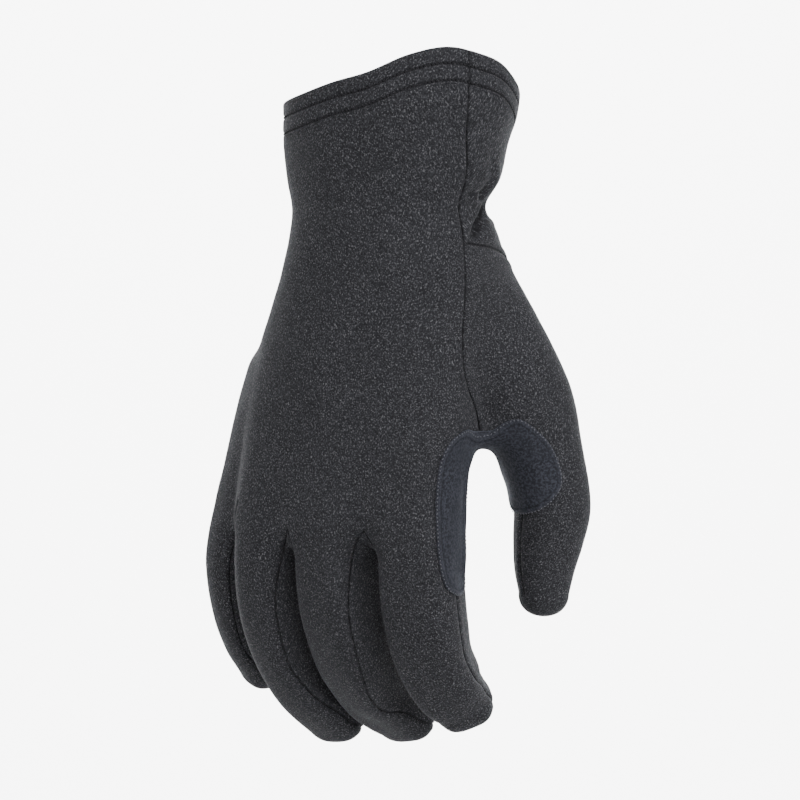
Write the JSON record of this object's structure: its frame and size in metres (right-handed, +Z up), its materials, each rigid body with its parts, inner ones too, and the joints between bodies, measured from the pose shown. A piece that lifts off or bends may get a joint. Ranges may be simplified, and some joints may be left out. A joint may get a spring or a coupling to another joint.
{
  "type": "fleece tactical glove",
  "caption": "Right-hand full-finger fleece glove with a suede grip patch between thumb and index finger, shown as worn, hollow and open at the wrist.",
  "frame": {"origin": "middle of the wrist opening, at the mean height of the cuff's rim", "axes": "+Z up the forearm, -Y out of the back of the hand, +X to the thumb side"},
  "size_m": [0.1378, 0.0823, 0.2382],
  "materials": {
    "fleece": "matt heathered brushed fleece",
    "suede": "matt short-napped suede"
  },
  "bodies": {
    "root": {"back_panel": "fleece", "palm_panel": "fleece", "thumb_panel": "fleece", "gusset_index_middle": "fleece", "gusset_middle_ring": "fleece", "gusset_ring_little": "fleece", "grip_patch": "suede", "cuff_hem": "fleece"}
  },
  "joints": []
}
